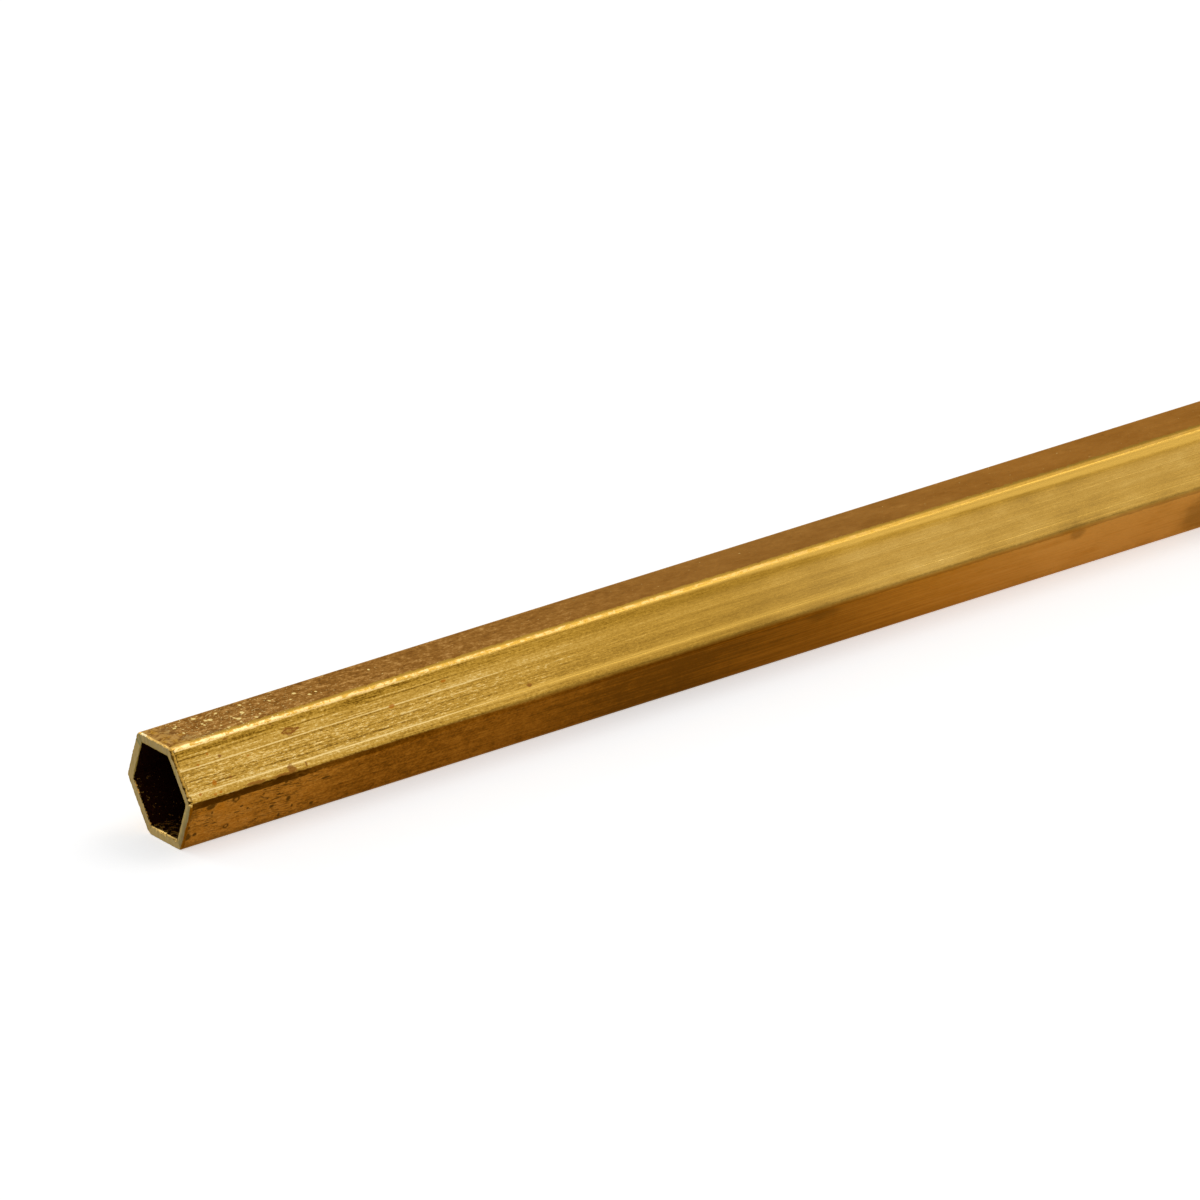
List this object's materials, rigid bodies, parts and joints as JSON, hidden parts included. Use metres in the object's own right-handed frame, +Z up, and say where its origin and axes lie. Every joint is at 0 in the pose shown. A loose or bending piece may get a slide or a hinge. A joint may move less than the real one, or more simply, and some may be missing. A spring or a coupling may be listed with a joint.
{
  "type": "hexagonal brass tube",
  "caption": "Straight thin-wall brass tube with a rounded hexagonal section outside and inside, sawn square at both ends.",
  "frame": {"origin": "on the floor under the middle of the tube, as it lies on one of its flats", "axes": "+X along the tube, away from the end that the picture shows; +Z up, square to the flat it lies on; +Y level, across the tube"},
  "size_m": [0.3048, 0.0044, 0.004],
  "materials": {
    "brass": "drawn, tarnished in patches, pale on the sawn ends"
  },
  "bodies": {
    "root": {"hex_tube": "brass"}
  },
  "joints": []
}
